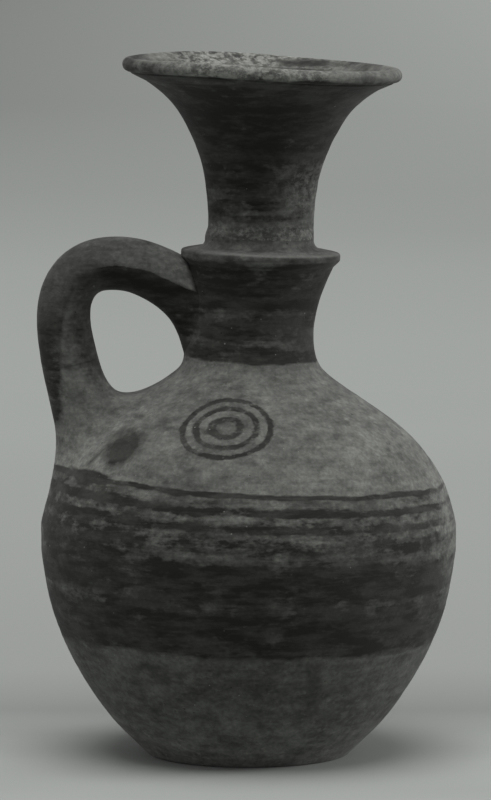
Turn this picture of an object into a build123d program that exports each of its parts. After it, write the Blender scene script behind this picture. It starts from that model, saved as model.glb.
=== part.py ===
from build123d import *

import math
import os

# Wheel-thrown pottery jug with a ridged neck, a flaring mouth and one handle, in millimetres.
# The jug stands on z = 0 with its body on the z axis, and its handle points along -x. It is put
# together from lumps of clay that were thrown or rolled one by one: a lower bowl, a shoulder
# dome, a neck collar with a ridge, a mouth funnel and a handle. Luting coils fill the grooves
# between the thrown pieces, and wads of clay are pressed over the two ends of the handle.

# Body: a bowl and a dome, joined at the belly
base_radius = 36.2
base_edge_round = 2.2
base_thickness = 8.0
belly_radius = 74.8
belly_height = 83.0
shoulder_rise = 57.0
body_wall = 5.5
neck_root_radius = 26.1
belly_groove_depth = 3.4
belly_groove_height = 11.0
neck_groove_depth = 4.1
neck_groove_height = 10.5
neck_groove_low_reach = 7.0
neck_groove_high_reach = 1.0

# Neck collar, which leans and tilts towards +x, and the ridge at its top
neck_rise = 40.8
neck_waist_radius = 22.6
neck_bore_radius = 18.2
neck_lean = 4.4
neck_tilt = 2.0
ridge_radius = 28.7
ridge_root_radius = 26.3
ridge_depth = 4.0
ridge_face_below = 1.6
ridge_face_above = 1.1
ridge_edge_round = 1.2
ledge_rise = 2.3

# Mouth funnel: its spigot sits in the collar, and its lip is a thick roll
mouth_rise = 66.4
mouth_lean = 0.5
mouth_tilt = 2.4
mouth_foot_radius = 19.2
mouth_waist_radius = 19.0
mouth_waist_rise = 11.3
mouth_wall = 4.5
slip_thickness = 0.2
lip_radius = 50.2
lip_thickness = 5.0
lip_drop = 5.5
lip_slope = 25.0
mouth_lute_width = 4.8
mouth_lute_height = 3.8

# Handle: an oval roll of clay that reaches out a little beyond the belly
handle_beyond_belly = 1.3
handle_crest_rise = 6.3
handle_thickness = 19.1
handle_root_thickness = 20.6
handle_width = 24.5

# Every cut runs past the clay by this much
overrun = 2.0

# Outlines as shares: how far up, then how far out from the first radius towards the last
bowl_shares = [(0.04, 0.085), (0.127, 0.276), (0.267, 0.51), (0.44, 0.727), (0.647, 0.902), (0.854, 0.987)]
dome_shares = [(0.09, 0.022), (0.235, 0.074), (0.386, 0.168), (0.535, 0.305), (0.637, 0.437), (0.74, 0.6),
               (0.842, 0.772), (0.895, 0.862), (0.949, 0.943)]
funnel_shares = [(0.12, 0.013), (0.235, 0.04), (0.35, 0.08), (0.467, 0.15), (0.583, 0.247), (0.7, 0.377),
                 (0.817, 0.541), (0.882, 0.671), (0.947, 0.835)]

# Neck sections up to the root of the ridge: how far up, share of the lean, and how far the
# radius has gone from the waist out to the shoulder below or to the ridge above
neck_foot_shares = [(0.0, 0.0, 1.0), (0.115, 0.02, 0.43)]
neck_flare_shares = [(0.34, 0.19, 0.0), (0.57, 0.43, 0.07), (0.8, 0.68, 0.46), (0.9, 0.81, 0.72)]

# Where the wall's inner face is worked out along its outer face, as shares of the outline
wall_shares = [0.18, 0.3, 0.42, 0.55, 0.68, 0.82, 1.0]
floor_share = 0.62

# Middle line of the handle: across from the body's axis, and up from the belly to the crest
handle_path_shares = [(0.2, 0.843), (0.35, 0.913), (0.5, 0.968), (0.635, 0.996), (0.735, 1.0), (0.848, 0.984),
                      (0.927, 0.945), (0.98, 0.88), (0.998, 0.795), (0.982, 0.68), (0.942, 0.55), (0.895, 0.42),
                      (0.868, 0.3)]
handle_sections = 15
handle_swell_share = 0.6

# Concave face of the clay round the funnel's foot: shares of its width and its height
mouth_lute_middle_shares = (0.3, 0.17)

# Top wad: how far up the neck, how far out from the neck's waist towards the handle's reach, and
# half width as a share of the handle's width; its middle is a share of the neck's waist
top_wad_shares = [(0.08, 0.021, 0.27), (0.172, 0.033, 0.33), (0.257, 0.049, 0.375), (0.343, 0.075, 0.41),
                  (0.43, 0.116, 0.44), (0.515, 0.183, 0.46), (0.59, 0.26, 0.455), (0.69, 0.288, 0.42)]
top_wad_middle_share = 0.67

# Root wad: how far up the shoulder, outer and inner reach as shares of the handle's, and half
# width as a share of the handle's width
root_wad_shares = [(0.193, 0.924, 0.7, 0.29), (0.281, 0.919, 0.63, 0.41), (0.386, 0.904, 0.565, 0.53),
                   (0.509, 0.896, 0.52, 0.63), (0.632, 0.902, 0.49, 0.69), (0.737, 0.916, 0.492, 0.69),
                   (0.807, 0.93, 0.53, 0.65), (0.853, 0.94, 0.58, 0.61), (0.904, 0.953, 0.63, 0.56),
                   (0.982, 0.966, 0.68, 0.5), (1.044, 0.971, 0.71, 0.47)]

neck_seam_height = belly_height + shoulder_rise
ridge_height = neck_seam_height + neck_rise
handle_reach = belly_radius + handle_beyond_belly


def tilted_plane(across, height, tilt):
    """A plane across the jug whose +x side is lower by the tilt, in degrees."""
    turn = math.radians(tilt)
    return Plane(origin=(across, 0, height), x_dir=(math.cos(turn), 0, -math.sin(turn)),
                 z_dir=(math.sin(turn), 0, math.cos(turn)))


def radial_plane(frame):
    """The plane that holds a tilted frame's own axis, for turning a profile round it."""
    return Plane(origin=frame.origin, x_dir=frame.x_dir, z_dir=(0, -1, 0))


def between(low, high, share):
    """The value that lies a share of the way from low to high."""
    return low + (high - low) * share


def circles(rings):
    """Round faces to loft through, each given as its plane and its radius."""
    faces = []
    for plane, radius in rings:
        with BuildSketch(plane) as ring:
            Circle(radius)
        faces.append(ring.sketch.face())
    return faces


ridge_frame = tilted_plane(neck_lean, ridge_height, neck_tilt)
ridge_axis = Axis(ridge_frame.origin, ridge_frame.z_dir)

# Body outline, from the base's edge over the belly to the neck's root
bowl_points = [(base_radius, 0)]
bowl_points += [(between(base_radius, belly_radius, out), belly_height * up) for up, out in bowl_shares]
bowl_points += [(belly_radius, belly_height)]
dome_points = [(belly_radius, belly_height)]
dome_points += [(between(belly_radius, neck_root_radius, out), belly_height + shoulder_rise * up)
                for up, out in dome_shares]
dome_points += [(neck_root_radius, neck_seam_height)]
bowl_line = Spline(*bowl_points, mode=Mode.PRIVATE)
dome_line = Spline(*dome_points, mode=Mode.PRIVATE)


def inner_points(line, shares):
    """Points one wall inside an outline that runs upwards, at shares of its length."""
    points = []
    for share in shares:
        direction = line % share
        inward = Vector(-direction.Y, direction.X)
        place = line @ share + inward * body_wall
        points.append((place.X, place.Y))
    return points


# Solid form of the body, and the hollow inside it
with BuildPart() as body_form:
    with BuildSketch(Plane.XZ):
        with BuildLine():
            Polyline((0, neck_seam_height), (0, 0), (base_radius, 0))
            Spline(*bowl_points)
            Spline(*dome_points)
            Line((neck_root_radius, neck_seam_height), (0, neck_seam_height))
        make_face()
    revolve(axis=Axis.Z)
    fillet(body_form.edges().filter_by(GeomType.CIRCLE).sort_by(Axis.Z)[0], base_edge_round)

bowl_inner_points = inner_points(bowl_line, wall_shares)
dome_inner_points = inner_points(dome_line, wall_shares)
floor_radius = base_radius * floor_share

with BuildPart() as body_hollow:
    with BuildSketch(Plane.XZ):
        with BuildLine():
            Polyline((0, neck_seam_height), (0, base_thickness), (floor_radius, base_thickness))
            Spline((floor_radius, base_thickness), *bowl_inner_points)
            Spline(bowl_inner_points[-1], *dome_inner_points, (neck_bore_radius, neck_seam_height))
            Line((neck_bore_radius, neck_seam_height), (0, neck_seam_height))
        make_face()
    revolve(axis=Axis.Z)

ridge_root = ridge_frame.offset(-ridge_depth)


def neck_rings(shares, end_radius):
    """Planes and radii of the neck: each radius lies between the waist's and that of the end it runs to."""
    rings = []
    for up, lean, out in shares:
        height = between(neck_seam_height, ridge_root.origin.Z, up)
        rings.append((tilted_plane(neck_lean * lean, height, neck_tilt * up),
                      between(neck_waist_radius, end_radius, out)))
    return rings


# Solid form of the neck with its ridge, and the bore through it
with BuildPart() as neck_form:
    loft(sections=circles(neck_rings(neck_foot_shares, neck_root_radius)
                          + neck_rings(neck_flare_shares, ridge_root_radius)
                          + [(ridge_root, ridge_root_radius)]))
    with BuildSketch(radial_plane(ridge_frame)):
        with BuildLine():
            Polyline((0, -ridge_depth), (ridge_root_radius, -ridge_depth), (ridge_radius, -ridge_face_below),
                     (ridge_radius, ridge_face_above), (mouth_foot_radius, ledge_rise), (0, ledge_rise), close=True)
        make_face()
    revolve(axis=ridge_axis)
    ridge_edges = neck_form.edges().filter_by(GeomType.CIRCLE).group_by(SortBy.RADIUS)[-1]
    fillet(ridge_edges, ridge_edge_round)

with BuildPart() as neck_bore:
    loft(sections=circles([(Plane.XY.offset(neck_seam_height), neck_bore_radius),
                           (ridge_root, neck_bore_radius)]))
    with BuildSketch(ridge_root):
        Circle(neck_bore_radius)
    extrude(amount=ridge_depth + ledge_rise + overrun)

# V grooves cut round the two body seams from outside: the far corners lie outside the clay
with BuildPart() as belly_groove:
    with BuildSketch(Plane.XZ):
        with BuildLine():
            Polyline((belly_radius - belly_groove_depth, belly_height),
                     (belly_radius + overrun, belly_height - belly_groove_height / 2),
                     (belly_radius + overrun, belly_height + belly_groove_height / 2), close=True)
        make_face()
    revolve(axis=Axis.Z)

with BuildPart() as neck_groove:
    with BuildSketch(Plane.XZ):
        with BuildLine():
            Polyline((neck_root_radius - neck_groove_depth, neck_seam_height),
                     (neck_root_radius + neck_groove_low_reach, neck_seam_height - neck_groove_height / 2),
                     (neck_root_radius + neck_groove_high_reach, neck_seam_height + neck_groove_height / 2),
                     close=True)
        make_face()
    revolve(axis=Axis.Z)

# Lower body: the bowl with the flat base
with BuildPart() as lower_body:
    add(body_form.part)
    add(body_hollow.part, mode=Mode.SUBTRACT)
    split(bisect_by=Plane.XY.offset(belly_height), keep=Keep.BOTTOM)
    add(belly_groove.part, mode=Mode.SUBTRACT)

# Shoulder: the dome that closes the bowl
with BuildPart() as shoulder:
    add(body_form.part)
    add(body_hollow.part, mode=Mode.SUBTRACT)
    split(bisect_by=Plane.XY.offset(belly_height), keep=Keep.TOP)
    add(belly_groove.part, mode=Mode.SUBTRACT)
    add(neck_groove.part, mode=Mode.SUBTRACT)

# Coil of clay in the groove round the belly
with BuildPart() as belly_seam_coil:
    add(body_form.part)
    add(body_hollow.part, mode=Mode.SUBTRACT)
    add(belly_groove.part, mode=Mode.INTERSECT)

# Neck: the collar that widens to the ridge
with BuildPart() as neck:
    add(neck_form.part)
    add(neck_bore.part, mode=Mode.SUBTRACT)
    add(neck_groove.part, mode=Mode.SUBTRACT)

# Coil of clay in the groove between the shoulder and the neck
with BuildPart() as neck_seam_coil:
    add(body_form.part)
    add(neck_form.part)
    add(neck_groove.part, mode=Mode.INTERSECT)


def funnel_ring(height_above_ridge):
    """The plane of the funnel at that height: it goes over from the ridge's tilt to the rim's."""
    share = height_above_ridge / mouth_rise
    return tilted_plane(neck_lean + mouth_lean * share, ridge_height + height_above_ridge,
                        between(neck_tilt, mouth_tilt, share))


# Mouth funnel: outer radius and inner radius by height above the ridge
lip_nose = lip_thickness / 2
lip_run = Vector(math.cos(math.radians(lip_slope)), math.sin(math.radians(lip_slope)))
lip_middle = Vector(lip_radius - lip_nose, 0)
lip_under = lip_middle + Vector(lip_run.Y, -lip_run.X) * lip_nose
lip_over = lip_middle + Vector(-lip_run.Y, lip_run.X) * lip_nose
lip_base_rise = mouth_rise - lip_drop
lip_base_radius = lip_under.X - (lip_under.Y + lip_drop) * lip_run.X / lip_run.Y
funnel_outline = [(mouth_waist_rise, mouth_waist_radius)]
funnel_outline += [(between(mouth_waist_rise, lip_base_rise, up), between(mouth_waist_radius, lip_base_radius, out))
                   for up, out in funnel_shares]
funnel_outline += [(lip_base_rise, lip_base_radius)]
funnel_line = Spline(*[(radius, height) for height, radius in funnel_outline], mode=Mode.PRIVATE)
funnel_inner = []
for height, radius in funnel_outline:
    direction = funnel_line.tangent_at(funnel_line.param_at_point((radius, height)))
    funnel_inner.append((height, radius - mouth_wall / direction.Y))
lip_inner_radius = funnel_inner[-1][1]
throat_radius = mouth_foot_radius - mouth_wall
spigot_length = ridge_depth - slip_thickness
lip_plane = funnel_ring(lip_base_rise)


def lip_point(place):
    """A point of the lip's section, measured from the plane where the lip starts."""
    return (place.X, place.Y + lip_drop)


with BuildPart() as mouth:
    loft(sections=circles([(ridge_frame.offset(ledge_rise), mouth_foot_radius)]
                          + [(funnel_ring(height), radius) for height, radius in funnel_outline]))
    with BuildSketch(ridge_frame.offset(-spigot_length)):
        Circle(neck_bore_radius - slip_thickness)
    extrude(amount=spigot_length + ledge_rise)
    loft(sections=circles([(ridge_frame.offset(-spigot_length - overrun), throat_radius),
                           (ridge_frame.offset(ledge_rise), throat_radius)]
                          + [(funnel_ring(height), radius) for height, radius in funnel_inner]),
         mode=Mode.SUBTRACT)
    with BuildSketch(radial_plane(lip_plane)):
        with BuildLine():
            Polyline(lip_point(lip_over), (lip_inner_radius, 0), (lip_base_radius, 0), lip_point(lip_under))
            ThreePointArc(lip_point(lip_under), lip_point(lip_middle + lip_run * lip_nose), lip_point(lip_over))
        make_face()
    revolve(axis=Axis(lip_plane.origin, lip_plane.z_dir))

# Clay pressed into the corner between the ledge and the funnel's foot
with BuildPart() as mouth_seam_coil:
    width_share, height_share = mouth_lute_middle_shares
    with BuildSketch(radial_plane(ridge_frame)):
        with BuildLine():
            low = (mouth_foot_radius + mouth_lute_width, ridge_face_above)
            high = (mouth_waist_radius, ledge_rise + mouth_lute_height)
            middle = (mouth_foot_radius + mouth_lute_width * width_share,
                      ledge_rise + mouth_lute_height * height_share)
            Polyline(high, (mouth_waist_radius, ridge_face_above), low)
            ThreePointArc(low, middle, high)
        make_face()
    revolve(axis=ridge_axis)
    add(neck_form.part, mode=Mode.SUBTRACT)
    add(mouth.part, mode=Mode.SUBTRACT)

# Handle: an oval roll bent from the neck under the ridge over to the shoulder
crest_height = ridge_height + handle_crest_rise - handle_thickness / 2
handle_line = Spline(*[(-(handle_reach - handle_thickness / 2) * across, 0, between(belly_height, crest_height, up))
                       for across, up in handle_path_shares], mode=Mode.PRIVATE)

with BuildPart() as handle:
    for section in range(handle_sections):
        share = section / (handle_sections - 1)
        swell = max(share - handle_swell_share, 0) / (1 - handle_swell_share)
        with BuildSketch(Plane(origin=handle_line @ share, x_dir=(0, 1, 0), z_dir=handle_line % share)):
            Ellipse(handle_width / 2, between(handle_thickness, handle_root_thickness, swell) / 2)
    loft()
    add(neck_form.part, mode=Mode.SUBTRACT)
    add(body_form.part, mode=Mode.SUBTRACT)


def ovals(rings):
    """Level oval faces to loft through, each given as its height, its two ends along -x and its half width."""
    faces = []
    for height, outer, inner, half_width in rings:
        with BuildSketch(Plane(origin=(-(outer + inner) / 2, 0, height), z_dir=(0, 0, 1))) as ring:
            Ellipse((outer - inner) / 2, half_width)
        faces.append(ring.sketch.face())
    return faces


# Wad of clay that fills the corner under the handle's top end
with BuildPart() as handle_top_wad:
    middle = neck_waist_radius * top_wad_middle_share
    rings = []
    for up, out, half_width in top_wad_shares:
        reach = between(neck_waist_radius, handle_reach, out)
        rings.append((between(neck_seam_height, ridge_height, up), reach, 2 * middle - reach,
                      handle_width * half_width))
    loft(sections=ovals(rings))
    add(handle.part, mode=Mode.SUBTRACT)
    add(neck_form.part, mode=Mode.SUBTRACT)
    add(body_form.part, mode=Mode.SUBTRACT)

# Wad of clay smoothed round the handle's root on the shoulder
with BuildPart() as handle_root_wad:
    loft(sections=ovals([(between(belly_height, neck_seam_height, up), handle_reach * outer,
                          handle_reach * inner, handle_width * half_width)
                         for up, outer, inner, half_width in root_wad_shares]))
    add(handle.part, mode=Mode.SUBTRACT)
    add(body_form.part, mode=Mode.SUBTRACT)

os.makedirs("parts", exist_ok=True)
for name, piece in [
    ("lower_body", lower_body),
    ("shoulder", shoulder),
    ("belly_seam_coil", belly_seam_coil),
    ("neck", neck),
    ("neck_seam_coil", neck_seam_coil),
    ("mouth", mouth),
    ("mouth_seam_coil", mouth_seam_coil),
    ("handle", handle),
    ("handle_top_wad", handle_top_wad),
    ("handle_root_wad", handle_root_wad),
]:
    piece.part.label = name
    export_step(piece.part, f"parts/{name}.step")
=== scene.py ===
import math

import bpy
import numpy as np
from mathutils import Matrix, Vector, noise


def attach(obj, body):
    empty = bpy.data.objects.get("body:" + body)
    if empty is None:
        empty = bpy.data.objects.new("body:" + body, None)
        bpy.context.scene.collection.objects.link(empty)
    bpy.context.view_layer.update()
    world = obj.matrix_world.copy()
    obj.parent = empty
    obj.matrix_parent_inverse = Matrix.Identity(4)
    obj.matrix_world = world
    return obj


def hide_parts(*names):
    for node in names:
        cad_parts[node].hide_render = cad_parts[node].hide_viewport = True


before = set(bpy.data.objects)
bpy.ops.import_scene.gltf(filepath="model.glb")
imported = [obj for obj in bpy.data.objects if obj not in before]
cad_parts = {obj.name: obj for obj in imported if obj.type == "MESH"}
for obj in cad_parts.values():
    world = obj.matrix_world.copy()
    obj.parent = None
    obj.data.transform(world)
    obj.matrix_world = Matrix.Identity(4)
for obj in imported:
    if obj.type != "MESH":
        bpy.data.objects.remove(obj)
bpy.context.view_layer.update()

# Wheel-thrown pottery jug with painted bands and circles, in a plain studio. Lengths are in
# millimetres and become metres when a mesh is made. The jug stands on z = 0 with its body on the z
# axis, its handle points along -x, and the side with the painted circles faces -y.
metres_per_mm = 0.001

# Body, from the base to the neck's root
base_radius = 36.2
base_edge_round = 2.2
base_edge_outset = 0.63
base_edge_rise = 0.65
base_thickness = 8.0
belly_radius = 74.8
belly_height = 83.0
shoulder_rise = 57.0
body_wall = 5.5
neck_root_radius = 26.1
belly_coil_low = 79.6
belly_coil_high = 86.3
belly_coil_tip_radius = 71.4

# Neck collar and ridge
neck_coil_low = 136.4
neck_coil_high = 142.7
neck_coil_tip_radius = 22.0
neck_rise = 40.8
neck_waist_radius = 22.6
neck_bore_radius = 18.2
neck_lean = 4.26
ridge_lean = 0.14
neck_tilt = 2.0
ridge_depth = 4.0
ridge_root_radius = 26.3
ridge_radius = 28.7
ridge_face_below = 1.6
ridge_face_above = 0.95
ridge_edge_round = 0.9
ledge_radius = 22.9
ledge_rise = 2.15
ledge_slope_rise = 0.1
ledge_corner_round = 3.4

# Mouth funnel and lip
mouth_rise = 66.4
mouth_lean = 0.5
mouth_tilt = 0.4
mouth_foot_radius = 19.1
mouth_waist_radius = 19.0
mouth_waist_rise = 11.3
mouth_wall = 4.5
mouth_coil_radius = 23.2
mouth_coil_rise = 6.1
spigot_radius = 18.0
spigot_depth = 3.8
lip_radius = 50.2
lip_thickness = 5.0
lip_drop = 5.5
lip_slope = 25.0
lip_groove_depth = 0.5
lip_groove_width = 0.45
lip_groove_back = 1.2

# Handle, and the wads of clay at its two ends
handle_reach = 76.1
handle_crest_rise = 6.3
handle_thickness = 19.1
handle_root_thickness = 20.6
handle_width = 24.5

# Outlines as shares: how far up, then how far out from the first radius towards the last
bowl_shares = [(0.04, 0.085), (0.127, 0.276), (0.267, 0.51), (0.44, 0.727), (0.647, 0.902), (0.854, 0.987)]
dome_shares = [(0.09, 0.022), (0.235, 0.074), (0.386, 0.168), (0.535, 0.305), (0.637, 0.437), (0.74, 0.6),
               (0.842, 0.772), (0.895, 0.862), (0.949, 0.943)]
neck_shares = [(0.104, 0.43), (0.307, 0.0), (0.514, 0.07), (0.722, 0.46), (0.812, 0.72)]
funnel_shares = [(0.12, 0.013), (0.235, 0.04), (0.35, 0.08), (0.467, 0.15), (0.583, 0.247), (0.7, 0.377),
                 (0.817, 0.541), (0.882, 0.671), (0.947, 0.835)]
# The handle's path: how far out from the jug's axis, then how far up from the belly to the crest
handle_path_shares = [(0.2, 0.843), (0.35, 0.913), (0.5, 0.968), (0.635, 0.996), (0.735, 1.0),
                      (0.848, 0.984), (0.927, 0.945), (0.98, 0.88), (0.998, 0.795), (0.982, 0.68),
                      (0.942, 0.55), (0.895, 0.42), (0.868, 0.3)]

# Spacing of the mesh along the outline and round the jug
body_spacing = 0.85
edge_spacing = 0.3
funnel_spacing = 0.6
inside_spacing = 1.0
wall_spacing = 2.4
base_spacing = 4.0
base_middle_radius = 6.0
corner_steps = 8
lip_steps = 16
turn_steps = 400
sharp_angle = 38

neck_seam_height = belly_height + shoulder_rise
ridge_height = neck_seam_height + neck_rise
rim_height = ridge_height + mouth_rise


def between(low, high, share):
    """The value that lies a share of the way from low to high."""
    return low + (high - low) * share


def ease(share):
    """A share from 0 to 1 that starts and ends gently."""
    share = np.clip(share, 0, 1)
    return share * share * (3 - 2 * share)


def unit(ways):
    """The same directions with length 1."""
    return ways / np.linalg.norm(ways, axis=-1, keepdims=True)


def lengths_along(line):
    """How far each point of a line lies from its start, along the line."""
    return np.concatenate([[0], np.cumsum(np.linalg.norm(np.diff(line, axis=0), axis=1))])


def smooth_line(points, spacing):
    """Evenly spaced points on the natural cubic spline through the given points."""
    points = np.array(points, float)
    knots = lengths_along(points)
    gaps = np.diff(knots)
    slopes = np.diff(points, axis=0) / gaps[:, None]
    count = len(points)
    system = np.eye(count)
    right = np.zeros_like(points)
    for i in range(1, count - 1):
        system[i, i - 1:i + 2] = gaps[i - 1] / 6, (gaps[i - 1] + gaps[i]) / 3, gaps[i] / 6
        right[i] = slopes[i] - slopes[i - 1]
    bends = np.linalg.solve(system, right)
    fine = np.linspace(0, knots[-1], 40 * count)
    span = np.clip(np.searchsorted(knots, fine) - 1, 0, count - 2)
    gap = gaps[span][:, None]
    after = (fine - knots[span])[:, None] / gap
    before = 1 - after
    line = before * points[span] + after * points[span + 1]
    line += ((before ** 3 - before) * bends[span] + (after ** 3 - after) * bends[span + 1]) * gap ** 2 / 6
    return evenly(line, spacing)


def evenly(line, spacing):
    """The same line with its points at even steps of about the given spacing."""
    line = np.array(line, float)
    places = lengths_along(line)
    steps = np.linspace(0, places[-1], max(int(round(places[-1] / spacing)), 1) + 1)
    return np.stack([np.interp(steps, places, line[:, i]) for i in range(line.shape[1])], axis=1)


def rounded_corner(before, corner, after, radius, steps=corner_steps):
    """Points of the arc that rounds a corner."""
    before, corner, after = (np.array(p, float) for p in (before, corner, after))
    back, onward = unit(before - corner), unit(after - corner)
    half = math.acos(np.clip(back @ onward, -1, 1)) / 2
    reach = radius / math.tan(half)
    centre = corner + unit(back + onward) * radius / math.sin(half)
    start, end = corner + back * reach - centre, corner + onward * reach - centre
    turn = math.pi - 2 * half
    shares = np.linspace(0, 1, steps)[:, None]
    return centre + (np.sin((1 - shares) * turn) * start + np.sin(shares * turn) * end) / math.sin(turn)


def lean_at(height):
    """How far the middle of the neck and mouth lies towards +x."""
    neck = np.clip((height - neck_seam_height) / (neck_rise - ridge_depth), 0, 1)
    ridge = np.clip((height - ridge_height + ridge_depth) / ridge_depth, 0, 1)
    mouth = np.clip((height - ridge_height) / mouth_rise, 0, 1)
    return neck_lean * neck ** 1.5 + ridge_lean * ridge + mouth_lean * mouth


def tilt_at(height):
    """How far the neck and mouth tilt down towards +x, in radians."""
    neck = np.clip((height - neck_seam_height) / (neck_rise - ridge_depth), 0, 1)
    mouth = np.clip((height - ridge_height) / mouth_rise, 0, 1)
    return np.radians(neck_tilt * neck + mouth_tilt * mouth)


# Unevenness of the thrown neck and mouth
rim_warp = 0.45
rim_wave = 0.5
rim_warp_reach = 20.0
# Fuller and hollower stretches of a side, as (side along x, middle height, reach up and down, fullness)
swellings = [(1, 224.0, 26.0, 0.5), (-1, 186.3, 4.5, 1.0), (-1, 141.0, 7.0, -1.3)]


def swelling(height, turn):
    """How much fuller the neck and the funnel are towards +x or -x."""
    total = 0
    for side, middle, reach, fullness in swellings:
        nearness = ease(1 - np.abs(height - middle) / reach)
        total = total + fullness * nearness * np.clip(side * np.cos(turn), 0, 1)
    return total


def warp_at(height, turn):
    """How far the rim rises out of its plane: in front and behind, and more at the left than right."""
    wave = rim_warp * np.cos(2 * turn) + rim_wave * np.sin(math.pi * np.cos(turn))
    return -wave * ease((height - rim_height + rim_warp_reach) / rim_warp_reach)


def place(radius, height, turn):
    """Points of the jug: its neck and mouth lean, and its rim is a little warped."""
    tilt = tilt_at(height)
    radius = radius + swelling(height, turn)
    x = lean_at(height) + radius * np.cos(turn) * np.cos(tilt)
    y = radius * np.sin(turn)
    z = height - radius * np.cos(turn) * np.sin(tilt) + warp_at(height, turn)
    return np.stack(np.broadcast_arrays(x, y, z), axis=-1)


# Outer outline of the whole jug, as (radius, height) from the base to the lip and down the inside
def bowl_and_neck_points():
    points = [(base_radius + base_edge_outset, base_edge_rise)]
    points += [(between(base_radius, belly_radius, out), belly_height * up) for up, out in bowl_shares]
    points += [(belly_radius, belly_height)]
    points += [(between(belly_radius, neck_root_radius, out), belly_height + shoulder_rise * up)
               for up, out in dome_shares]
    points += [(neck_root_radius, neck_seam_height)]
    for up, out in neck_shares:
        end = neck_root_radius if up < neck_shares[1][0] else ridge_root_radius
        points.append((between(neck_waist_radius, end, out), neck_seam_height + neck_rise * up))
    points += [(ridge_root_radius, ridge_height - ridge_depth)]
    return points


def ridge_points():
    root = (ridge_root_radius, ridge_height - ridge_depth)
    low = (ridge_radius, ridge_height - ridge_face_below)
    high = (ridge_radius, ridge_height + ridge_face_above)
    ledge = (ledge_radius, ridge_height + ledge_rise)
    corner = (mouth_foot_radius, ridge_height + ledge_rise + ledge_slope_rise)
    waist = (mouth_waist_radius, ridge_height + mouth_waist_rise)
    line = [root]
    line += list(rounded_corner(root, low, high, ridge_edge_round))
    line += list(rounded_corner(low, high, ledge, ridge_edge_round))
    line += list(rounded_corner(ledge, corner, waist, ledge_corner_round))
    return line


outline_inset = 0.05
inside_start_share = 0.45
ledge_foot_rise = 2.0

lip_run = np.array([math.cos(math.radians(lip_slope)), math.sin(math.radians(lip_slope))])
lip_side = np.array([lip_run[1], -lip_run[0]])
lip_nose = lip_thickness / 2
lip_middle = np.array([lip_radius - lip_nose, rim_height])
lip_under = lip_middle + lip_side * lip_nose
lip_over = lip_middle - lip_side * lip_nose
lip_base_height = rim_height - lip_drop
lip_base_radius = lip_under[0] - (lip_under[1] - lip_base_height) * lip_run[0] / lip_run[1]


def funnel_points():
    low = ridge_height + mouth_waist_rise
    points = [(mouth_waist_radius, low)]
    points += [(between(mouth_waist_radius, lip_base_radius, out), between(low, lip_base_height, up))
               for up, out in funnel_shares]
    points += [(lip_base_radius, lip_base_height)]
    return points


def lip_points():
    angles = np.radians(np.linspace(lip_slope - 90, lip_slope + 90, lip_steps))
    return [lip_middle + lip_nose * np.array([math.cos(angle), math.sin(angle)]) for angle in angles]


def inner_side(line, depth):
    """The line that lies one wall inside an outline that runs upwards."""
    along = unit(np.gradient(line, axis=0))
    return line + depth * np.stack([-along[:, 1], along[:, 0]], axis=1)


base_slope = (base_radius + base_edge_round, base_edge_round)
base_edge = rounded_corner((0, 0), (base_radius, 0), base_slope, base_edge_round, corner_steps // 2)
base_line = np.vstack([evenly([(base_middle_radius, 0), base_edge[0]], base_spacing), base_edge[1:-1]])
body_line = smooth_line(bowl_and_neck_points(), body_spacing)
body_line[:, 0] = np.minimum(body_line[:, 0], belly_radius - outline_inset)
ridge_line = evenly(ridge_points(), edge_spacing)
funnel_line = smooth_line([ridge_line[-1]] + funnel_points(), funnel_spacing)
lip_line = evenly([funnel_line[-1]] + lip_points(), edge_spacing)

# The inside goes from the lip down the funnel, and ends in the spigot's foot
funnel_inside = inner_side(smooth_line(funnel_points(), 2 * funnel_spacing), mouth_wall)[::-1]
inside_points = [lip_over, between(lip_over, funnel_inside[1], inside_start_share)]
inside_points += list(funnel_inside[3::4])
inside_points += [(mouth_foot_radius - mouth_wall, ridge_height + ledge_foot_rise),
                  (mouth_foot_radius - mouth_wall, ridge_height - spigot_depth)]
inside_line = smooth_line(inside_points, inside_spacing)

skin_line = np.vstack([base_line, body_line]
                      + [line[1:] for line in (ridge_line, funnel_line, lip_line, inside_line)])
ridge_start = len(base_line) + len(body_line) - 1
funnel_end = ridge_start + len(ridge_line) + len(funnel_line) - 2
side_line = skin_line[len(base_line):ridge_start + 1]

# Relief of the clay: coarse and fine wheel ridges that run round, slow lumps and fine grain, each as
# how deep it is, its grain size along each axis, and its place in the noise
relief_noises = [(0.1, (70, 70, 3.2), 11.3), (0.06, (50, 50, 1.5), 23.7), (0.16, (17, 17, 13), 41.9),
                 (0.05, (4, 4, 3), 57.1)]
clay_inset = 0.06
relief_top_sharpness = 12.0


def relief(points):
    """How far the clay lies in from its outline at points of the surface: it never stands out."""
    height = 0
    for depth, sizes, shift in relief_noises:
        spots = (points / np.array(sizes) + shift).reshape(-1, 3).tolist()
        height = height + depth * np.array([noise.noise(spot) for spot in spots])
    height = height.reshape(points.shape[:-1]) - clay_inset
    return height - np.logaddexp(0, relief_top_sharpness * height) / relief_top_sharpness


def outward(grid):
    """Unit normals of a grid of points whose second axis runs round."""
    along = np.gradient(grid, axis=0)
    ring = np.concatenate([grid[:, -1:], grid, grid[:, :1]], axis=1)
    around = (ring[:, 2:] - ring[:, :-2]) / 2
    normal = np.cross(around, along)
    return normal / np.maximum(np.linalg.norm(normal, axis=-1), 1e-9)[..., None]


turns = np.linspace(0, 2 * math.pi, turn_steps, endpoint=False)


def turned(line):
    """The grid of points that an outline makes when it goes round the jug."""
    line = np.array(line, float)
    return place(line[:, 0][:, None], line[:, 1][:, None], turns[None, :])


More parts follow.
